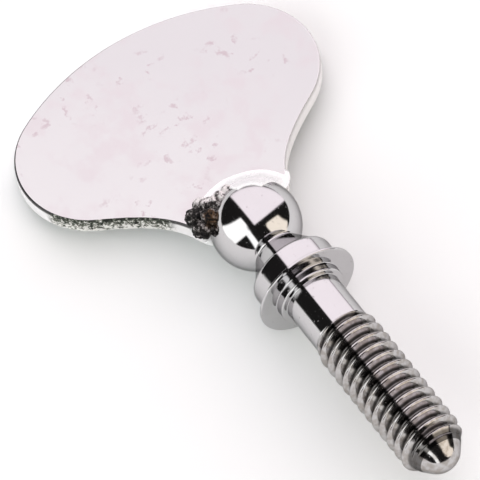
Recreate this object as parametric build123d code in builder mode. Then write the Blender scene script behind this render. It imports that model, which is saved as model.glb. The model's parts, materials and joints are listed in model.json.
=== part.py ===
from build123d import *
import os
from math import asin, atan2, ceil, cos, hypot, radians, sin, sqrt, tan

# Wing screw: a turned screw whose slotted ball head holds a stamped, fan-shaped wing, brazed in place.
# It is modelled upright, with the ball's centre at the origin, +Z up the wing and -Y towards the wing's
# front, and is laid down at the end as it comes to rest: on its ball and on the wing's crown.

# ---- Driving dimensions, mm and degrees ----

# Thread: number 8, 32 turns to the inch
thread_radius = 4.166 / 2
thread_pitch = 25.4 / 32
thread_flank_angle = 30
thread_length = 10.39
thread_runout = 0.6
# Where the thread starts, measured round the axis from +X
thread_start_angle = 43.33

# Turned body, from the ball down to the point
ball_radius = 2.85
neck_radius = 1.53
neck_end = 4.0
collar_radius = 2.76
collar_break = 0.14
collar_length = 1.63
flange_radius = 3.32
flange_thickness = 0.19
boss_radius = 2.2
boss_length = 0.58
shank_radius = 1.83
shank_length = 3.2
point_half_angle = 36
nose_radius = 1.43

# Wing: two round lobes under a crown, drawn in to a narrow root
wing_thickness = 1.18
wing_edge_chamfer = 0.12
wing_span = 20.6
wing_root_width = 6.35
wing_root_height = 1.09
lobe_height = 9.98
lobe_radius = 4.96
lobe_flank_angle = 60
crown_rise = 1.43
flank_reach_lobe = 3.0
flank_reach_root = 1.8
flank_root_lean = 14

# Braze metal between the ball and the wing, with burnt lumps at the left end of the front run
braze_radius = 1.05
lump_radius = 0.66
lump_count = 3
lump_shrink = 0.9
lump_first_angle = 157
lump_angle_step = 17

# ---- Sizes that follow from them ----

half_wing = wing_thickness / 2
# Unified form: the sharp V is cut back by an eighth at the crest and a sixth at the root
thread_crest_width = thread_pitch / 8
thread_depth = (1 - 1 / 8 - 1 / 6) * thread_pitch / (2 * tan(radians(thread_flank_angle)))
thread_root_radius = thread_radius - thread_depth

# Heights of the turned body's shoulders, measured from the ball's centre
neck_top_z = -sqrt(ball_radius**2 - neck_radius**2)
shoulder_z = -neck_end
flange_back_z = shoulder_z - collar_length
flange_face_z = flange_back_z - flange_thickness
boss_end_z = flange_face_z - boss_length
thread_start_z = boss_end_z - shank_length
thread_end_z = thread_start_z - thread_length

# The point is a cone that runs tangent into a spherical nose
point_slope = tan(radians(point_half_angle))
cone_apex_z = thread_end_z - thread_root_radius / point_slope
nose_centre_z = cone_apex_z + nose_radius / sin(radians(point_half_angle))
nose_tangent_radius = nose_radius * cos(radians(point_half_angle))
nose_tangent_z = nose_centre_z - nose_radius * sin(radians(point_half_angle))
tip_z = nose_centre_z - nose_radius

# ---- Wing: one outline, cut from sheet ----

lobe_x = wing_span / 2 - lobe_radius
crown_top = lobe_height + lobe_radius + crown_rise
crown_over_lobe = crown_top - lobe_height
# The crown's arc passes over the top and runs tangent into both lobes
crown_radius = (lobe_x**2 + crown_over_lobe**2 - lobe_radius**2) / (2 * crown_rise)
crown_centre_z = crown_top - crown_radius
lobe_top_angle = atan2(lobe_height - crown_centre_z, lobe_x)
lobe_top = (lobe_x + lobe_radius * cos(lobe_top_angle), lobe_height + lobe_radius * sin(lobe_top_angle))
flank_turn = radians(lobe_flank_angle)
lobe_foot = (lobe_x + lobe_radius * cos(flank_turn), lobe_height - lobe_radius * sin(flank_turn))
root_corner = (wing_root_width / 2, wing_root_height)
root_lean = radians(flank_root_lean)

# Handles of the flank's curve, one along the lobe's tangent and one above the root's corner
lobe_handle = (
    lobe_foot[0] - flank_reach_lobe * sin(flank_turn),
    lobe_foot[1] - flank_reach_lobe * cos(flank_turn),
)
root_handle = (
    root_corner[0] + flank_reach_root * sin(root_lean),
    root_corner[1] + flank_reach_root * cos(root_lean),
)
crown_half_turn = (radians(90) - lobe_top_angle) / 2
crown_side = (crown_radius * sin(crown_half_turn), crown_centre_z + crown_radius * cos(crown_half_turn))

with BuildSketch(Plane.XZ) as wing_outline:
    with BuildLine():
        ThreePointArc((0, crown_top), crown_side, lobe_top)
        ThreePointArc(lobe_top, (lobe_x + lobe_radius, lobe_height), lobe_foot)
        # The flank leaves the lobe along its tangent and hollows down to the root's corner
        Bezier(lobe_foot, lobe_handle, root_handle, root_corner)
        Line(root_corner, (0, wing_root_height))
        mirror(about=Plane.YZ)
    make_face()

with BuildPart() as wing:
    extrude(wing_outline.sketch, amount=half_wing, both=True)
    # The sheared edges are broken all round, except along the root, which seats in the slot
    face_edges = wing.edges().filter_by(Plane.XZ)
    above_root = face_edges.filter_by(lambda edge: edge.center().Z > wing_root_height + wing_edge_chamfer)
    chamfer(above_root, wing_edge_chamfer)

# ---- Screw: one turning, with its thread rolled and its head slotted ----

# Half sections of the turning are drawn outwards from the axis, on the side where the helix starts
section_plane = Plane(origin=(0, 0, 0), x_dir=(-1, 0, 0), z_dir=(0, 1, 0))


def thread_width(radius):
    """Width of the thread's ridge, along the axis, at a distance from the axis."""
    return thread_crest_width + 2 * (thread_radius - radius) * tan(radians(thread_flank_angle))


ridge_foot_radius = thread_root_radius - 0.1 * thread_depth
ridge_height = thread_radius - ridge_foot_radius
# The ridge is made of equal lengths of a few whole turns, end to end
turns_per_length = 2
ridge_lengths = ceil((thread_length / thread_pitch + 1) / turns_per_length)

with BuildPart() as ridge_length:
    # The helix starts inside the shank's end and runs down towards the point
    with BuildLine():
        helix = Helix(
            pitch=thread_pitch,
            height=turns_per_length * thread_pitch,
            radius=ridge_foot_radius,
            center=(0, 0, thread_start_z + thread_pitch / 2),
            direction=(0, 0, -1),
        )
    # Trapezoid section, standing out from the axis at the helix's start
    with BuildSketch(Plane(origin=helix @ 0, x_dir=section_plane.x_dir, z_dir=helix % 0)):
        with BuildLine():
            Polyline(
                (0, -thread_width(ridge_foot_radius) / 2),
                (ridge_height, -thread_crest_width / 2),
                (ridge_height, thread_crest_width / 2),
                (0, thread_width(ridge_foot_radius) / 2),
                close=True,
            )
        make_face()
    sweep(path=helix, is_frenet=True)

with BuildPart() as thread_ridge:
    with Locations([(0, 0, -number * turns_per_length * thread_pitch) for number in range(ridge_lengths)]):
        add(ridge_length.part)
    # Both ends of the ridge run out on cones, one into the shank and one into the point
    ridge_top_z = thread_start_z - thread_crest_width
    ridge_bottom_z = thread_end_z + thread_crest_width
    envelope_radius = thread_radius + thread_crest_width
    runout_slope = thread_runout / (thread_radius - shank_radius)
    with BuildSketch(section_plane):
        with BuildLine():
            Polyline(
                (0, ridge_top_z),
                (shank_radius, ridge_top_z),
                (envelope_radius, ridge_top_z - (envelope_radius - shank_radius) * runout_slope),
                (envelope_radius, ridge_bottom_z + envelope_radius - thread_root_radius),
                (thread_root_radius, ridge_bottom_z),
                (0, ridge_bottom_z),
                close=True,
            )
        make_face()
    revolve(axis=Axis.Z, mode=Mode.INTERSECT)

with BuildPart() as threaded_blank:
    # Half section of the turned blank: the neck is a cone, from the ball out to the collar's broken edge
    with BuildSketch(section_plane):
        with BuildLine():
            ThreePointArc((0, ball_radius), (ball_radius, 0), (neck_radius, neck_top_z))
            Polyline(
                (neck_radius, neck_top_z),
                (collar_radius - collar_break, shoulder_z),
                (collar_radius, shoulder_z - 2 * collar_break),
                (collar_radius, flange_back_z),
                (flange_radius, flange_back_z),
                (flange_radius, flange_face_z),
                (boss_radius, flange_face_z),
                (boss_radius, boss_end_z),
                (shank_radius, boss_end_z),
                (shank_radius, thread_start_z),
                (thread_root_radius, thread_start_z - (shank_radius - thread_root_radius)),
                (thread_root_radius, thread_end_z),
                (nose_tangent_radius, nose_tangent_z),
            )
            ThreePointArc(
                (nose_tangent_radius, nose_tangent_z),
                (nose_radius * sin(radians(90 - point_half_angle) / 2),
                 nose_centre_z - nose_radius * cos(radians(90 - point_half_angle) / 2)),
                (0, tip_z),
            )
            Line((0, tip_z), (0, ball_radius))
        make_face()
    revolve(axis=Axis.Z)
    add(thread_ridge.part)

with BuildPart() as screw:
    # The ridge is drawn on the -X side, and the blank is turned from there to where its thread starts
    add(threaded_blank.part, rotation=(0, 0, thread_start_angle - 180))
    # Slot across the ball, as wide as the wing is thick and open at the top
    with BuildSketch(Plane.XY.offset(wing_root_height)):
        Rectangle(3 * ball_radius, wing_thickness)
    extrude(amount=ball_radius, mode=Mode.SUBTRACT)

# ---- Braze: a bank of metal between the ball and the wing's face, on both sides ----

# The bank runs between the places where an arc, tangent to the ball and to the wing's face, touches them
bank_ring_radius = sqrt((ball_radius + braze_radius) ** 2 - (half_wing + braze_radius) ** 2)
ball_share = ball_radius / (ball_radius + braze_radius)
on_ball = (bank_ring_radius * ball_share, (half_wing + braze_radius) * ball_share)
joint_radius = sqrt(ball_radius**2 - half_wing**2)
on_joint = (joint_radius, half_wing)
on_wing = (bank_ring_radius, half_wing)
halfway_x = on_joint[0] + on_ball[0]
halfway_y = on_joint[1] + on_ball[1]
halfway_share = ball_radius / hypot(halfway_x, halfway_y)
halfway_on_ball = (halfway_x * halfway_share, halfway_y * halfway_share)


# The section runs out from the ball's centre along X, and forward from the wing's middle along -Y
with BuildPart() as braze_run:
    with BuildSketch(Plane(origin=(0, 0, 0), x_dir=(1, 0, 0), z_dir=(0, 0, -1))):
        with BuildLine():
            ThreePointArc(on_joint, halfway_on_ball, on_ball)
            Polyline(on_ball, on_wing, on_joint)
        make_face()
    revolve(axis=Axis.Y)
    # It stops where the wing does
    extrude(wing_outline.sketch, amount=2 * ball_radius, both=True, mode=Mode.INTERSECT)

with BuildPart() as braze_back:
    add(braze_run.part)
    mirror(about=Plane.XZ, mode=Mode.REPLACE)

# Lumps of burnt metal, smaller towards the top, sit in the hollow where the front run ends
with BuildPart() as braze_front:
    for number in range(lump_count):
        lump_angle = radians(lump_first_angle - number * lump_angle_step)
        lump_place = (
            (bank_ring_radius - braze_radius / 2) * cos(lump_angle),
            -half_wing - lump_radius / 3,
            (bank_ring_radius - braze_radius / 2) * sin(lump_angle),
        )
        with Locations(lump_place):
            Sphere(lump_radius * lump_shrink**number)
    add(wing.part, mode=Mode.SUBTRACT)
    Sphere(ball_radius, mode=Mode.SUBTRACT)
    add(braze_run.part)

# ---- Laid down as it rests: the ball and the crown's lower edge both touch the ground ----

crown_edge_z = crown_top - wing_edge_chamfer
rest_tilt = asin(ball_radius / hypot(crown_edge_z, half_wing)) - atan2(half_wing, crown_edge_z)
# Ahead is towards the point, level with the ground; up is square to the ground
ahead = (0, sin(rest_tilt), -cos(rest_tilt))
up = (0, -cos(rest_tilt), -sin(rest_tilt))
front_reach = nose_radius - nose_centre_z * cos(rest_tilt)
back_reach = crown_top * cos(rest_tilt) + (half_wing - wing_edge_chamfer) * sin(rest_tilt)
# The origin is on the ground, under the middle of the whole
ball_place = Location(((back_reach - front_reach) / 2, 0, ball_radius))
laid_down = ball_place * Plane(origin=(0, 0, 0), x_dir=ahead, z_dir=up).location.inverse()

screw.part.label = "screw"
wing.part.label = "wing"
braze_front.part.label = "braze_front"
braze_back.part.label = "braze_back"

os.makedirs("parts", exist_ok=True)
export_step(screw.part.move(laid_down), "parts/screw.step")
export_step(wing.part.move(laid_down), "parts/wing.step")
export_step(braze_front.part.move(laid_down), "parts/braze_front.step")
export_step(braze_back.part.move(laid_down), "parts/braze_back.step")
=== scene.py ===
"""A plated wing screw at rest on its ball and on the crown of its wing, in a plain soft studio."""

import json
import math

import bpy
import numpy as np
from mathutils import Matrix


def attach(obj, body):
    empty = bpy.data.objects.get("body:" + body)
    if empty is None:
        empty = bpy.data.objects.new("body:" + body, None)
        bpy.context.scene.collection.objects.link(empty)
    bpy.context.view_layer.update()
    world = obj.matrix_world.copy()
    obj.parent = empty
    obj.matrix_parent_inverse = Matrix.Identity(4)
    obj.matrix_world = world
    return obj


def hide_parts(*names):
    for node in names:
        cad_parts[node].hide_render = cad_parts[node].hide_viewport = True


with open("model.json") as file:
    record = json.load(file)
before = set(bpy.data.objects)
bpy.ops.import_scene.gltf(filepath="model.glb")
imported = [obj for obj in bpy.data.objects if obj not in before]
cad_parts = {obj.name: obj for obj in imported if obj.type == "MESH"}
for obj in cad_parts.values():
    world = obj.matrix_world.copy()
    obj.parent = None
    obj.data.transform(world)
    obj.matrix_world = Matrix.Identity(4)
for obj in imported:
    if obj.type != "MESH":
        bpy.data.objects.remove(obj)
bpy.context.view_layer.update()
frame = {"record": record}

# ---- Where the screw lies: three directions and the middle of its ball ----

MM = 0.001
MOUNTS = {mount["name"]: mount for mount in frame["record"]["mounts"]}
TO_POINT = np.array(MOUNTS["boss_pilot"]["axis"])
ACROSS = np.array([0.0, 1.0, 0.0])
OUT_OF_FACE = np.cross(TO_POINT, ACROSS)
BALL_TO_BOSS = 6.11
BALL_CENTRE = np.array(MOUNTS["boss_pilot"]["pos_m"]) - BALL_TO_BOSS * MM * TO_POINT

# ---- The main view's directions: the screw's point leans towards the camera ----

LEAN = math.radians(31)
TURN = math.radians(-15)
ROLL = math.radians(38.6)
DISTANCE = 0.33
# Width of the view at the ball
FIELD = 29.04 * MM

sideways = math.cos(TURN) * ACROSS - math.sin(TURN) * OUT_OF_FACE
down_screw = (
    math.cos(LEAN) * TO_POINT
    - math.sin(TURN) * math.sin(LEAN) * ACROSS
    - math.cos(TURN) * math.sin(LEAN) * OUT_OF_FACE
)
to_camera = (
    math.sin(LEAN) * TO_POINT
    + math.sin(TURN) * math.cos(LEAN) * ACROSS
    + math.cos(TURN) * math.cos(LEAN) * OUT_OF_FACE
)
view_right = math.cos(ROLL) * sideways + math.sin(ROLL) * down_screw
view_down = -math.sin(ROLL) * sideways + math.cos(ROLL) * down_screw

# ---- Sizes in millimetres, measured from the ball's centre towards the point ----

BALL = 2.846
NECK = 1.53
COLLAR = 2.76
SHOULDER = 4.20
FLANGE = 3.32
FLANGE_BACK = 5.63
FLANGE_FACE = 5.82
BOSS = 2.2
BOSS_END = 6.40
SHANK = 1.83
THREAD = 2.083
THREAD_ROOT = 1.596
PITCH = 25.4 / 32
THREAD_START = 9.6
THREAD_END = 19.99
# Share of a turn by which the ridge is shifted round the screw
THREAD_PHASE = 0.7148
POINT_HALF_ANGLE = math.radians(36)
NOSE = 1.43
HALF_WING = 0.587
ROOT_HALF_WIDTH = 3.175
ROOT_HEIGHT = 1.09
BRAZE = 1.05

STEPS_ROUND = 144
THREAD_STEPS = 26


def lay(across, face, along):
    """Point of the screw in the row frame: the ball's centre plus a share of each of the three directions."""
    across, face, along = np.broadcast_arrays(across, face, along)
    offset = across[..., None] * ACROSS + face[..., None] * OUT_OF_FACE + along[..., None] * TO_POINT
    return BALL_CENTRE + MM * offset


def ripple(points, size, seed, octaves=3):
    """Smooth unevenness between -1 and 1: sine waves in random directions, each octave twice as fine."""
    draw = np.random.default_rng(seed)
    total = np.zeros(points.shape[:-1])
    weight = 0.0
    for octave in range(octaves):
        waves = draw.normal(size=(7, 3)) * (2**octave / size)
        phases = draw.uniform(0, 2 * math.pi, 7)
        total += np.sin(points @ waves.T + phases).mean(-1) * 0.6**octave
        weight += 0.6**octave
    return 1.6 * total / weight


def smooth_step(value, low, high):
    """0 below low, 1 above high, and an even S between them."""
    share = np.clip((value - low) / (high - low), 0, 1)
    return share * share * (3 - 2 * share)


def skin(name, rings, start_pole=None, end_pole=None, marks=None, inside_out=False):
    """Closed skin over rings of points: quads join each ring to the next, and a pole closes each end.

    rings is an array of ring, place round the ring, and x, y, z. marks holds values for each ring point.
    """
    count, around = rings.shape[:2]
    places = rings.reshape(-1, 3)
    index = np.arange(count * around).reshape(count, around)
    following = np.roll(index, -1, axis=1)
    quads = np.stack([index[:-1], following[:-1], following[1:], index[1:]], -1).reshape(-1, 4)
    faces = [quads]
    if start_pole is not None:
        tip = np.full(around, len(places))
        faces.append(np.stack([tip, following[0], index[0]], -1))
        places = np.vstack([places, start_pole])
    if end_pole is not None:
        tip = np.full(around, len(places))
        faces.append(np.stack([index[-1], following[-1], tip], -1))
        places = np.vstack([places, end_pole])
    polygons = [row[::-1] if inside_out else row for block in faces for row in block.tolist()]
    mesh = bpy.data.meshes.new(name)
    mesh.from_pydata(places.tolist(), [], polygons)
    for label, values in (marks or {}).items():
        spare = len(places) - values.size
        flat = np.concatenate([values.ravel(), np.full(spare, values.ravel()[-1])])
        mesh.attributes.new(label, "FLOAT", "POINT").data.foreach_set("value", flat.astype(np.float32))
    mesh.polygons.foreach_set("use_smooth", np.ones(len(mesh.polygons), bool))
    mesh.update()
    piece = bpy.data.objects.new(name, mesh)
    bpy.context.scene.collection.objects.link(piece)
    return piece


# ---- Turned body: ball, neck, collar, flange, boss, shank, thread and point in one skin ----

def bend(centre_along, centre_radius, radius, start, end, count):
    """Section points on part of a circle, between two angles in degrees, 0 pointing along the screw."""
    angle = np.radians(np.linspace(start, end, count))
    return np.stack([centre_along + radius * np.cos(angle), centre_radius + radius * np.sin(angle)], -1)


def run(start, end, count):
    """Section points evenly spaced on a straight line, without its two ends."""
    share = np.linspace(0, 1, count + 2)[1:-1, None]
    return np.array(start) * (1 - share) + np.array(end) * share


def turned_section():
    """Half section of the blank, as distance along the screw and radius: circles joined by straight runs."""
    ball_end = math.degrees(math.asin(NECK / BALL))
    neck_start = (BALL * math.cos(math.radians(ball_end)), NECK)
    apex = THREAD_END + THREAD_ROOT / math.tan(POINT_HALF_ANGLE)
    nose_centre = apex - NOSE / math.sin(POINT_HALF_ANGLE)
    nose_turn = 90 - math.degrees(POINT_HALF_ANGLE)
    nose_start = bend(nose_centre, 0, NOSE, nose_turn, 0.4, 16)
    # The thread's fine rows begin a little before it and end a little after it
    before, after = 0.1, 0.3
    thread_rows = int(round((THREAD_END + after - THREAD_START) / PITCH * THREAD_STEPS))
    thread_along = np.linspace(THREAD_START - before, THREAD_END + after, thread_rows)
    root_start = smooth_step(thread_along, THREAD_START, THREAD_START + 0.25)
    core = SHANK + (THREAD_ROOT - SHANK) * root_start
    core = core - np.maximum(thread_along - THREAD_END, 0) * math.tan(POINT_HALF_ANGLE)
    # Radii of the corners and of the hollows at the foot of a step
    collar_corner, collar_foot, flange_rim, boss_corner, shank_foot = 0.30, 0.08, 0.06, 0.09, 0.04
    shank_start = BOSS_END + shank_foot
    return np.vstack([
        bend(0, 0, BALL, 179.2, ball_end, 60),
        run(neck_start, (SHOULDER - 0.22, COLLAR - 0.19), 20),
        bend(SHOULDER, COLLAR - collar_corner, collar_corner, 150, 90, 8),
        run((SHOULDER, COLLAR), (FLANGE_BACK - collar_foot, COLLAR), 6),
        bend(FLANGE_BACK - collar_foot, COLLAR + collar_foot, collar_foot, -90, 0, 5),
        run((FLANGE_BACK, COLLAR + collar_foot), (FLANGE_BACK, FLANGE - flange_rim), 3),
        bend(FLANGE_BACK + flange_rim, FLANGE - flange_rim, flange_rim, 180, 90, 6),
        bend(FLANGE_FACE - flange_rim, FLANGE - flange_rim, flange_rim, 90, 0, 6),
        run((FLANGE_FACE, FLANGE - flange_rim), (FLANGE_FACE, BOSS + flange_rim), 5),
        bend(FLANGE_FACE + flange_rim, BOSS + flange_rim, flange_rim, 180, 270, 5),
        run((FLANGE_FACE + flange_rim, BOSS), (BOSS_END - boss_corner, BOSS), 4),
        bend(BOSS_END - boss_corner, BOSS - boss_corner, boss_corner, 90, 0, 6),
        run((BOSS_END, BOSS - boss_corner), (BOSS_END, SHANK + shank_foot), 2),
        bend(shank_start, SHANK + shank_foot, shank_foot, 180, 270, 4),
        run((shank_start, SHANK), (THREAD_START - before, SHANK), 24),
        np.stack([thread_along, core], -1),
        run((thread_along[-1], core[-1]), tuple(nose_start[0]), 10),
        nose_start,
    ])


def rolled_thread(along, angle):
    """Radius of the thread's ridge: a V of 60 degrees, flat at crest and root, that winds one pitch a turn.

    The wall runs out at both ends on cones, so the ridge grows out of the shank and dies away on the point.
    """
    turn = along / PITCH - angle / (2 * math.pi) - THREAD_PHASE
    from_crest = np.abs(turn - np.round(turn)) * PITCH
    crest_half = PITCH / 16
    root_half = PITCH / 2 - PITCH / 12
    height = (root_half - from_crest) / (root_half - crest_half)
    # Both corners of the section are eased over a short blend
    ease = 0.10
    height = np.where(height < ease, np.maximum(height + ease, 0) ** 2 / (4 * ease), height)
    height = np.where(height > 1 - ease, 1 - np.maximum(1 + ease - height, 0) ** 2 / (4 * ease), height)
    ridge = THREAD_ROOT + (THREAD - THREAD_ROOT) * height
    grow_from, grow_length, fade_gap = 0.08, 0.6, 0.1
    grow = SHANK + (along - THREAD_START - grow_from) * (THREAD - SHANK) / grow_length
    fade = THREAD_ROOT + (THREAD_END - fade_gap - along)
    return np.minimum(np.minimum(ridge, grow), np.maximum(fade, 0))


def turned_body():
    """Surface of the section turned about the screw's axis, with the thread's ridge where it stands proud."""
    section = turned_section()
    angle = np.linspace(0, 2 * math.pi, STEPS_ROUND, endpoint=False)
    along = np.repeat(section[:, :1], STEPS_ROUND, axis=1)
    radius = np.repeat(section[:, 1:], STEPS_ROUND, axis=1)
    threaded = (along > THREAD_START) & (along < THREAD_END + 0.25)
    radius = np.where(threaded, np.maximum(radius, rolled_thread(along, angle[None])), radius)
    rings = lay(radius * np.cos(angle), radius * np.sin(angle), along)
    # How deep each place lies in the thread's valleys; the finish paints shade into the roots by it
    depth = np.where(threaded, smooth_step(THREAD - radius, 0.05, 0.45), 0.0)
    first = lay(0.0, 0.0, section[0, 0] - 0.0001)
    last = lay(0.0, 0.0, section[-1, 0] + 0.0001)
    return skin("turned_body", rings, first, last, {"along": along, "valley": depth})


# ---- Wing: a sheared sheet with rolled edges ----

def wing_outline(count):
    """Evenly spaced points round the wing: a crown arc tangent to two lobes, and hollow flanks to the root."""
    lobe_radius, lobe_x, lobe_height, crown_rise = 4.96, 5.34, 9.98, 1.427
    crown_top = lobe_height + lobe_radius + crown_rise
    over = crown_top - lobe_height
    crown_radius = (lobe_x**2 + over**2 - lobe_radius**2) / (2 * crown_rise)
    crown_centre = crown_top - crown_radius
    meet = math.atan2(lobe_height - crown_centre, lobe_x)
    crown_turn = np.linspace(math.pi / 2, meet, 200)
    crown = [0, crown_centre] + crown_radius * np.stack([np.cos(crown_turn), np.sin(crown_turn)], -1)
    foot_turn = math.radians(60)
    lobe_turn = np.linspace(meet, -foot_turn, 300)
    lobe = [lobe_x, lobe_height] + lobe_radius * np.stack([np.cos(lobe_turn), np.sin(lobe_turn)], -1)
    foot, corner = lobe[-1], np.array([ROOT_HALF_WIDTH, ROOT_HEIGHT])
    handle_a = foot - 3.0 * np.array([math.sin(foot_turn), math.cos(foot_turn)])
    handle_b = corner + 1.8 * np.array([math.sin(math.radians(14)), math.cos(math.radians(14))])
    t = np.linspace(0, 1, 200)[:, None]
    pull = 3 * t * (1 - t) ** 2 * handle_a + 3 * t**2 * (1 - t) * handle_b
    flank = (1 - t) ** 3 * foot + pull + t**3 * corner
    half = np.vstack([crown, lobe[1:], flank[1:], [[0, ROOT_HEIGHT]]])
    other = (half * [-1, 1])[::-1]
    loop = np.vstack([half, other[1:]])
    steps = np.hypot(*np.diff(loop, axis=0).T)
    travelled = np.concatenate([[0], np.cumsum(steps)])
    wanted = np.linspace(0, travelled[-1], count, endpoint=False)
    even = np.stack([np.interp(wanted, travelled, loop[:, 0]), np.interp(wanted, travelled, loop[:, 1])], -1)
    return sum(np.roll(even, shift, axis=0) for shift in range(-3, 4)) / 7


def sheared_wing():
    """Sheet between two faces: rings shrink from the outline to the middle of each face, joined by a wall.

    The wall's two corners are rounded, and its left flank is torn: the wall there is pushed in and out.
    """
    outline = wing_outline(720)
    ahead = np.roll(outline, -1, axis=0) - np.roll(outline, 1, axis=0)
    outward = np.stack([-ahead[:, 1], ahead[:, 0]], -1) / np.hypot(*ahead.T)[:, None]
    outward *= np.sign((outward * (outline - [0, 9])).sum(-1).mean())
    front, back = 0.15, 0.10
    quarter = np.radians(np.linspace(0, 90, 6))
    inset = np.concatenate([front * (1 - np.sin(quarter)), np.zeros(5), back * (1 - np.cos(quarter))])
    wall = np.linspace(HALF_WING - front, -HALF_WING + back, 7)[1:-1]
    height = np.concatenate([
        HALF_WING - front + front * np.cos(quarter),
        wall,
        -HALF_WING + back - back * np.sin(quarter),
    ])
    torn = smooth_step(-outline[:, 0], 3.4, 5.2) * smooth_step(9.0 - outline[:, 1], 0.2, 2.2)
    rim = outline[None] - outward[None] * inset[:, None, None]
    near_wall = smooth_step(front - inset, 0.0, front)[:, None] * torn[None]
    spots = np.stack([rim[..., 0], np.repeat(height[:, None], len(outline), 1), rim[..., 1]], -1)
    push = ripple(spots, 0.16, 4, 4) * 0.055 - 0.03
    rim = rim + outward[None] * (push * near_wall)[..., None]
    middle = np.array([0.0, 9.0])
    rows = 24
    shrink = np.linspace(0, 1, rows + 2)[1:-1] ** 0.8
    faces = middle + (rim[0] - middle) * shrink[:, None, None]
    backs = middle + (rim[-1] - middle) * shrink[::-1, None, None]
    flat = np.vstack([faces, rim, backs])
    level = np.concatenate([np.full(rows, HALF_WING), height, np.full(rows, -HALF_WING)])
    level = np.repeat(level[:, None], len(outline), 1)
    edge = np.concatenate([np.zeros(rows), smooth_step(front - inset, 0.0, front), np.zeros(rows)])
    edge = np.repeat(edge[:, None], len(outline), 1)
    tear = np.repeat(torn[None], len(level), 0)
    rings = lay(flat[..., 0], level, -flat[..., 1])
    first, last = lay(0.0, HALF_WING, -9.0), lay(0.0, -HALF_WING, -9.0)
    # Depth down the wall from the front face, how low on the left each place of the sheet lies, and how far
    # left it lies, which strengthens the dark rim line that is partly painted shade
    depth = (HALF_WING - level) / (2 * HALF_WING)
    low = smooth_step(-flat[..., 0] * 0.5 - flat[..., 1] * 0.5, -9.0, 1.0)
    left = 0.3 + 0.7 * smooth_step(-flat[..., 0], -3.0, 4.0)
    marks = {"edge": edge, "tear": tear * edge, "wall": depth, "low": low, "left": left}
    return skin("sheared_wing", rings, first, last, marks)


# ---- Braze: a hollow run on each side of the wing, and burnt lumps where the front run ends ----

def braze_run(name, side, hollow, swell, climb_end, seed):
    """Band round the ball: a hollow arc tangent to ball and wing, closed inside them, carried half round.

    Past the arc a thin layer climbs the ball, up to climb_end degrees above the wing's middle plane.
    """
    ring = math.sqrt((BALL + hollow) ** 2 - (HALF_WING + hollow) ** 2)
    centre = np.array([ring, HALF_WING + hollow])
    to_ball = math.atan2(-centre[1], -centre[0])
    arc_turn = np.linspace(to_ball - 0.10, -math.pi / 2 + 0.08, 22)
    arc = centre + (hollow + 0.02) * np.stack([np.cos(arc_turn), np.sin(arc_turn)], -1)
    climb = np.linspace(math.atan2(centre[1], centre[0]), math.radians(climb_end), 12)[1:]
    layer = BALL + 0.05
    over = layer * np.stack([np.cos(climb), np.sin(climb)], -1)[::-1]
    inside = np.array([[ring + 0.05, HALF_WING - 0.12], [2.2, HALF_WING - 0.12], [1.9, 0.9], over[0] * 0.93])
    section = np.vstack([over, arc, inside])
    sweep = np.radians(np.linspace(14, 166, 170))
    climbing, showing = len(over), len(over) + len(arc)
    proud = np.zeros(len(section))
    proud[1:showing - 1] = np.sin(np.linspace(0, math.pi, showing - 2))
    # The run swells and dies away by turns along its length
    spots = np.stack([np.cos(sweep) * 3, np.sin(sweep) * 3, np.full(len(sweep), side * 1.0)], -1)
    uneven = ripple(spots, 0.9, seed, 2) * 0.05 + swell * smooth_step(-np.cos(sweep), 0.1, 0.9)
    ends = np.sqrt(np.clip(np.sin((sweep - sweep[0]) / (sweep[-1] - sweep[0]) * math.pi) * 4, 0.001, 1))
    lift = (proud[None] * uneven[:, None] * ends[:, None])[..., None]
    away = np.zeros_like(section)
    away[:climbing] = over / layer
    away[climbing:showing] = -np.stack([np.cos(arc_turn), np.sin(arc_turn)], -1)
    core = np.array([2.5, 0.75])
    shape = core + (section[None] + lift * away[None] - core) * ends[:, None, None]
    # Under the burnt lumps the layer on the ball sinks below the ball's skin
    fading = np.linspace(1, 0, climbing + 1)[None, :climbing, None]
    sunk = smooth_step(np.degrees(sweep), 98, 114)[:, None, None] * fading
    shape[:, :climbing] *= 1 - 0.12 * sunk
    rings = lay(
        shape[..., 0] * np.cos(sweep)[:, None],
        side * shape[..., 1],
        -shape[..., 0] * np.sin(sweep)[:, None],
    )
    first, last = rings[0].mean(0), rings[-1].mean(0)
    return skin(name, rings, first, last, inside_out=side < 0)


def burnt_lumps(name, places, sizes, middle, seed):
    """Skin of several overlapping balls: along each ray from a shared middle, the farthest ball's far side.

    Fine and coarse unevenness along the ray pits the skin. Places are across, out and along.
    """
    to_centre = np.array(places) - middle
    size = np.array(sizes)
    round_turn = np.linspace(0, 2 * math.pi, 200, endpoint=False)
    turn, rise = np.meshgrid(round_turn, np.linspace(0.01, math.pi - 0.01, 120))
    rays = np.stack([np.sin(rise) * np.cos(turn), np.sin(rise) * np.sin(turn), np.cos(rise)], -1)
    towards = rays @ to_centre.T
    beside = (to_centre**2).sum(-1) - towards**2
    leave = towards + np.sqrt(np.maximum(size**2 - beside, 0))
    skin_at = np.where((beside < size**2) & (leave > 0), leave, 0.0).max(-1)
    least = 0.35
    skin_at = np.maximum(skin_at, least)
    spots = rays * skin_at[..., None]
    coarse = ripple(spots, 0.30, seed, 3)
    fine = ripple(spots, 0.09, seed + 1, 3)
    skin_at = skin_at * (1 + 0.16 * coarse + 0.09 * fine)
    place = np.array(middle) + rays * skin_at[..., None]
    rings = lay(place[..., 0], place[..., 1], place[..., 2])
    pits = np.clip(0.5 - 0.5 * fine, 0, 1)
    pale = smooth_step(place @ np.array([0.5, 0.3, -0.8]), 0.75, 1.35)
    stain_at, stain_reach = [-2.4, 1.75, -0.9], 0.80
    amber = smooth_step(stain_reach - np.linalg.norm(place - stain_at, axis=-1), 0.0, 0.4)
    first, last = rings[0].mean(0), rings[-1].mean(0)
    marks = {"pits": pits, "pale": pale, "amber": amber}
    return skin(name, rings, first, last, marks, inside_out=True)


# ---- Finishes ----

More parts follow.
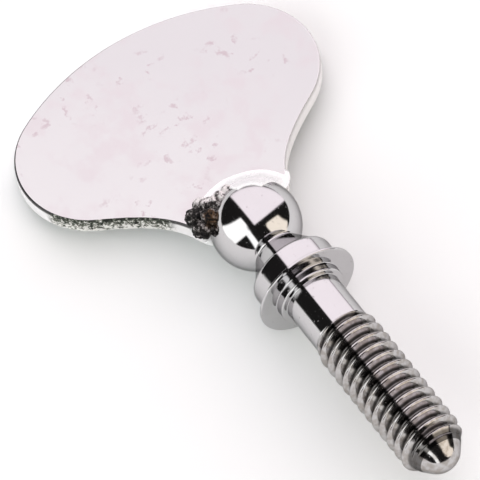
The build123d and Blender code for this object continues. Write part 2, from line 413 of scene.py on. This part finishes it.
class Wire:
    """A shader value: writing + - * between wires and numbers adds the Math nodes."""

    def __init__(self, bench, socket):
        self.bench = bench
        self.socket = socket

    def __add__(self, other):
        return self.bench.math("ADD", self, other)

    def __sub__(self, other):
        return self.bench.math("SUBTRACT", self, other)

    def __rsub__(self, other):
        return self.bench.math("SUBTRACT", other, self)

    def __mul__(self, other):
        return self.bench.math("MULTIPLY", self, other)

    __radd__ = __add__
    __rmul__ = __mul__


class Bench:
    """Lays out the nodes of one finish."""

    def __init__(self, tree):
        self.tree = tree
        tree.nodes.clear()

    def node(self, kind, settings=(), inputs=(), output=0):
        """Adds a node: its settings first, then a value or a wire for each named or numbered socket."""
        made = self.tree.nodes.new(kind)
        for key, value in dict(settings).items():
            if key == "stops":
                ramp = made.color_ramp
                while len(ramp.elements) < len(value):
                    ramp.elements.new(0.5)
                for element, (place, colour) in zip(ramp.elements, value):
                    element.position = place
                    element.color = (*colour, 1)
            else:
                setattr(made, key, value)
        for key, value in dict(inputs).items():
            if isinstance(value, Wire):
                self.tree.links.new(value.socket, made.inputs[key])
            else:
                made.inputs[key].default_value = value
        return Wire(self, made.outputs[output])

    def math(self, operation, *values):
        return self.node("ShaderNodeMath", {"operation": operation}, dict(enumerate(values)))

    def step(self, value, low, high):
        """Smooth step of a wire from 0 at low to 1 at high."""
        limits = {"Value": value, "From Min": low, "From Max": high}
        return self.node("ShaderNodeMapRange", {"interpolation_type": "SMOOTHSTEP"}, limits)

    def blend(self, share, first, second, mode="MIX"):
        """Colour between two colours."""
        settings = {"data_type": "RGBA", "blend_type": mode}
        return self.node("ShaderNodeMix", settings, {0: share, 6: first, 7: second}, output=2)

    def bands(self, value, stops):
        """Colour picked by a value from a row of places and colours."""
        return self.node("ShaderNodeValToRGB", {"stops": stops}, {"Fac": value})

    def place(self):
        return self.node("ShaderNodeTexCoord", output="Object")

    def mark(self, label):
        return self.node("ShaderNodeAttribute", {"attribute_name": label}, output="Fac")

    def grain(self, where, scale, detail=3.0, rough=0.55):
        inputs = {"Vector": where, "Scale": scale, "Detail": detail, "Roughness": rough}
        return self.node("ShaderNodeTexNoise", (), inputs)

    def stretched(self, where, scale):
        return self.node("ShaderNodeMapping", (), {"Vector": where, "Scale": scale})


def new_finish(name):
    """Empty material and its bench."""
    finish = bpy.data.materials.new(name)
    finish.use_nodes = True
    return finish, Bench(finish.node_tree)


def close_finish(bench, colour, roughness, metallic, height=None, depth=0.00001, **uniform):
    """Principled surface with an optional bump, joined to the output."""
    inputs = {"Base Color": colour, "Roughness": roughness, "Metallic": metallic}
    if height is not None:
        bump = {"Height": height, "Distance": depth, "Strength": 1.0}
        inputs["Normal"] = bench.node("ShaderNodeBump", (), bump)
    inputs.update(uniform)
    surface = bench.node("ShaderNodeBsdfPrincipled", (), inputs)
    end = bench.tree.nodes.new("ShaderNodeOutputMaterial")
    bench.tree.links.new(surface.socket, end.inputs["Surface"])


def plated_turning():
    """Bright plating over turned metal: fine rings, a few specks, a warm film from the thread on, and painted
    shade that darkens the thread's roots.
    """
    finish, bench = new_finish("plated_turning")
    where = bench.place()
    along = bench.mark("along")
    valley = bench.mark("valley")
    ring_inputs = {"W": along * 9.0, "Scale": 4.0, "Detail": 4.0}
    ring_noise = bench.node("ShaderNodeTexNoise", {"noise_dimensions": "1D"}, ring_inputs)
    cloud = bench.grain(where, 900.0)
    speck = bench.step(bench.grain(where, 5200.0, 2.0), 0.66, 0.74)
    clean = bench.blend(cloud, (0.57, 0.565, 0.57, 1), (0.61, 0.605, 0.61, 1))
    # A warm film dulls the thread and the point in mottled patches, and the valleys of the thread are darkened
    # nearly black as painted shade
    mottle = bench.grain(where, 2400.0, 3.0)
    threaded = bench.step(along, 9.55, 9.75)
    film = threaded * (0.15 + bench.step(mottle, 0.38, 0.66) * 0.40)
    film_and_root_shade = bench.blend(film, clean, (0.24, 0.20, 0.155, 1))
    # Painted shade: the deepest parts of the thread's valleys go towards near black
    film_and_root_shade = bench.blend(bench.step(valley, 0.40, 0.95) * 0.75, film_and_root_shade, (0.02, 0.018, 0.016, 1))
    colour = bench.blend(speck * 0.25, film_and_root_shade, (0.12, 0.10, 0.09, 1))
    roughness = 0.05 + ring_noise * 0.05 + speck * 0.25 + film * 0.12
    height = ring_noise * 0.5 + speck * -0.5
    tint = {"Specular Tint": (0.45, 0.45, 0.45, 1)}
    close_finish(bench, colour, roughness, 1.0, height, 0.0000012, **tint)
    return finish


def plated_sheet():
    """Plating over coarsely polished sheet: smudged faces, a dark rim line that is partly a rolled rim and
    partly painted shade, strongest on the left, and a burnt, torn flank.
    """
    finish, bench = new_finish("plated_sheet")
    where = bench.place()
    edge = bench.mark("edge")
    tear = bench.mark("tear")
    cloud = bench.grain(where, 260.0, 3.0)
    low = bench.mark("low")
    dab = bench.grain(where, 1300.0, 3.0, 0.6)
    patch = bench.grain(where, 230.0, 2.0) + low * 0.08
    smudge = bench.step(dab, 0.575, 0.70) * bench.step(patch, 0.50, 0.60)
    haze = bench.step(bench.grain(where, 380.0, 3.0) + low * 0.05, 0.50, 0.68)
    face = bench.blend(low + (cloud - 0.5) * 0.6, (0.565, 0.570, 0.568, 1), (0.608, 0.618, 0.608, 1))
    face = bench.blend(haze * 0.5, face, (0.57, 0.53, 0.54, 1))
    face = bench.blend(smudge * 0.75, face, (0.47, 0.40, 0.42, 1))
    wall = bench.mark("wall")
    line = bench.grain(where, 2600.0, 4.0, 0.7)
    sheared = bench.blend(line, (0.88, 0.87, 0.87, 1), (0.97, 0.96, 0.96, 1))
    # Dark line at the top of the wall: partly a rolled rim and partly painted shade, strongest on the left
    rim_line_and_shade = bench.step(edge, 0.02, 0.4) * (1.0 - bench.step(wall, 0.10, 0.26)) * bench.mark("left")
    sheared = bench.blend(rim_line_and_shade, sheared, (0.05, 0.05, 0.05, 1))
    colour = bench.blend(bench.step(edge, 0.05, 0.5), face, sheared)
    crumb = bench.grain(where, 3600.0, 4.0, 0.75)
    burnt = bench.bands(crumb + wall * 0.20, [
        (0.46, (0.008, 0.010, 0.007)), (0.54, (0.045, 0.06, 0.04)),
        (0.60, (0.25, 0.26, 0.22)), (0.66, (0.85, 0.85, 0.82)),
    ])
    colour = bench.blend(bench.step(tear, 0.15, 0.6), colour, burnt)
    roughness = 0.07 + smudge * 0.12 + edge * 0.30 + tear * 0.25
    metallic = 1.0 - bench.step(edge, 0.1, 0.8) * 0.65
    fine = bench.grain(bench.stretched(where, (1.0, 6.0, 1.0)), 1500.0, 4.0)
    height = fine * 0.05 + crumb * tear * 12.0 + cloud * 0.4 + smudge * 0.4
    close_finish(bench, colour, roughness, metallic, height, 0.000004)
    return finish


def plated_braze():
    """Bright plating over braze metal, a little wavy."""
    finish, bench = new_finish("plated_braze")
    where = bench.place()
    cloud = bench.grain(where, 1200.0, 3.0)
    colour = bench.blend(cloud, (0.96, 0.98, 0.97, 1), (0.91, 0.93, 0.92, 1))
    roughness = 0.20 + cloud * 0.15
    close_finish(bench, colour, roughness, 0.15 + cloud * 0.2, cloud, 0.00002)
    return finish


def burnt_metal():
    """Pitted, burnt braze metal: black holes, grey and white plating crumbs, and orange-brown stains."""
    finish, bench = new_finish("burnt_metal")
    where = bench.place()
    pits = bench.mark("pits")
    crumb = bench.grain(where, 2300.0, 5.0, 0.75)
    level = crumb * 0.8 + (1.0 - pits) * 0.12 + bench.mark("pale") * 0.13
    tone = bench.bands(level, [
        (0.42, (0.006, 0.006, 0.006)), (0.48, (0.03, 0.027, 0.025)),
        (0.54, (0.26, 0.25, 0.24)), (0.60, (0.92, 0.90, 0.88)),
    ])
    stain = bench.step(bench.grain(where, 1100.0, 2.0), 0.42, 0.55) * bench.mark("amber")
    colour = bench.blend(stain * bench.step(level, 0.42, 0.52) * 0.7, tone, (0.17, 0.085, 0.025, 1))
    roughness = 0.30 + crumb * 0.4
    metallic = 0.55 + crumb * 0.4
    close_finish(bench, colour, roughness, metallic, crumb, 0.00012)
    return finish


def pale_floor():
    """Matt white paper."""
    finish, bench = new_finish("pale_floor")
    fibre = bench.grain(bench.place(), 300.0, 2.0)
    colour = bench.blend(fibre, (0.955, 0.985, 0.975, 1), (0.960, 0.990, 0.980, 1))
    close_finish(bench, colour, 0.95, 0.0, **{"Specular IOR Level": 0.0})
    return finish


# ---- The pieces, each on the one body ----

def fit(piece, node, finish):
    """Gives a piece its finish and puts it in the place of its CAD node."""
    piece.data.materials.append(finish)
    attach(piece, "root")
    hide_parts(node)


braze_finish = plated_braze()
fit(turned_body(), "screw", plated_turning())
fit(sheared_wing(), "wing", plated_sheet())
fit(braze_run("braze_run_front", 1, 1.6, 0.04, 66, 5), "braze_front", braze_finish)
burnt_finish = burnt_metal()
lump_places = [
    (-2.9, 0.9, -2.0), (-3.05, 0.9, -1.1), (-2.2, 0.85, -2.6), (-2.3, 1.4, -1.35), (-1.9, 1.3, -2.0),
]
lump_sizes = (0.66, 0.60, 0.52, 0.55, 0.58)
lumps = burnt_lumps("burnt_lumps", lump_places, lump_sizes, (-2.5, 1.0, -1.9), 11)
fit(lumps, "braze_front", burnt_finish)
trail_places = [(-1.55, 1.6, -1.75), (-1.1, 1.75, -1.9), (-0.65, 1.85, -2.0)]
trail = burnt_lumps("burnt_trail", trail_places, (0.52, 0.44, 0.34), (-1.15, 1.72, -1.88), 21)
fit(trail, "braze_front", burnt_finish)
fit(braze_run("braze_run_back", -1, BRAZE, 0.03, 34, 6), "braze_back", braze_finish)

# ---- Camera: the screw's point leans towards it, and the view is turned about the line of sight ----

aim = BALL_CENTRE + FIELD * (-0.0329 * view_right + 0.0315 * view_down)


def place_camera():
    """Long lens, looking down on the screw."""
    lens = bpy.data.cameras.new("long_lens")
    lens.sensor_width = 36
    lens.lens = 36 * DISTANCE / FIELD
    lens.clip_start = 0.01
    lens.clip_end = 20
    camera = bpy.data.objects.new("camera", lens)
    bpy.context.scene.collection.objects.link(camera)
    spot = aim + DISTANCE * to_camera
    columns = np.stack([view_right, -view_down, to_camera, spot], -1)
    camera.matrix_world = Matrix([*columns.tolist(), [0, 0, 0, 1]])
    bpy.context.scene.camera = camera


# ---- Studio: white paper, a dark room with a few soft panels, and one broad lamp ----

def lay_floor():
    """Square of paper on the ground, level with the lowest point of the screw."""
    corners = [(-3, -3, 0), (3, -3, 0), (3, 3, 0), (-3, 3, 0)]
    mesh = bpy.data.meshes.new("floor")
    mesh.from_pydata(corners, [], [(0, 1, 2, 3)])
    floor = bpy.data.objects.new("floor", mesh)
    mesh.materials.append(pale_floor())
    bpy.context.scene.collection.objects.link(floor)


def light_room():
    """World of soft-edged panels: each is a rectangle seen from the screw, given by ranges of direction."""
    world = bpy.data.worlds.new("studio")
    bpy.context.scene.world = world
    world.use_nodes = True
    bench = Bench(world.node_tree)
    look = bench.node("ShaderNodeTexCoord", output="Generated")

    def share(direction):
        settings = {"operation": "DOT_PRODUCT"}
        return bench.node("ShaderNodeVectorMath", settings, {0: look, 1: tuple(direction)}, output="Value")

    side, down, near = share(sideways), share(down_screw), share(to_camera)

    def between(value, low, high, soft=0.03):
        return bench.step(value, low - soft, low + soft) * (1.0 - bench.step(value, high - soft, high + soft))

    right_panel = bench.step(side, -0.09, -0.02) * (1.0 - bench.step(down, -0.06, 0.0))
    right_panel = right_panel * bench.step(near, -0.45, -0.25)
    left_panel = between(side, -0.97, -0.30) * between(down, -0.60, 0.08) * between(near, 0.0, 0.93)
    low_panel = between(side, 0.30, 0.85) * between(down, 0.22, 0.85) * between(near, 0.1, 0.9)
    strip = between(side, -0.56, -0.36) * between(down, 0.0, 0.85)
    colour = bench.blend(right_panel, (0.015, 0.014, 0.014, 1), (1.45, 1.33, 1.40, 1))
    colour = bench.blend(left_panel, colour, (1.8, 1.79, 1.77, 1))
    colour = bench.blend(low_panel, colour, (1.45, 1.3, 1.13, 1))
    colour = bench.blend(strip, colour, (1.75, 1.75, 1.75, 1))
    shine = bench.node("ShaderNodeBackground", (), {"Color": colour, "Strength": 1.0})
    end = world.node_tree.nodes.new("ShaderNodeOutputWorld")
    world.node_tree.links.new(shine.socket, end.inputs["Surface"])


def hang_lamp():
    """Broad lamp over the left of the main view, soft enough to give no hard shadow."""
    lamp = bpy.data.lights.new("broad_lamp", "SUN")
    lamp.energy = 0.6
    lamp.angle = math.radians(70)
    holder = bpy.data.objects.new("broad_lamp", lamp)
    bpy.context.scene.collection.objects.link(holder)
    aim_from = -0.50 * sideways + 0.10 * down_screw + 0.50 * to_camera + np.array([0, 0, 0.6])
    aim_from = aim_from / np.linalg.norm(aim_from)
    level = np.cross([0.0, 1.0, 0.0], aim_from)
    level = level / np.linalg.norm(level)
    columns = np.stack([level, np.cross(aim_from, level), aim_from, aim_from], -1)
    holder.matrix_world = Matrix([*columns.tolist(), [0, 0, 0, 1]])
    holder.visible_glossy = False


place_camera()
lay_floor()
light_room()
hang_lamp()
bpy.context.scene.view_settings.view_transform = "Standard"
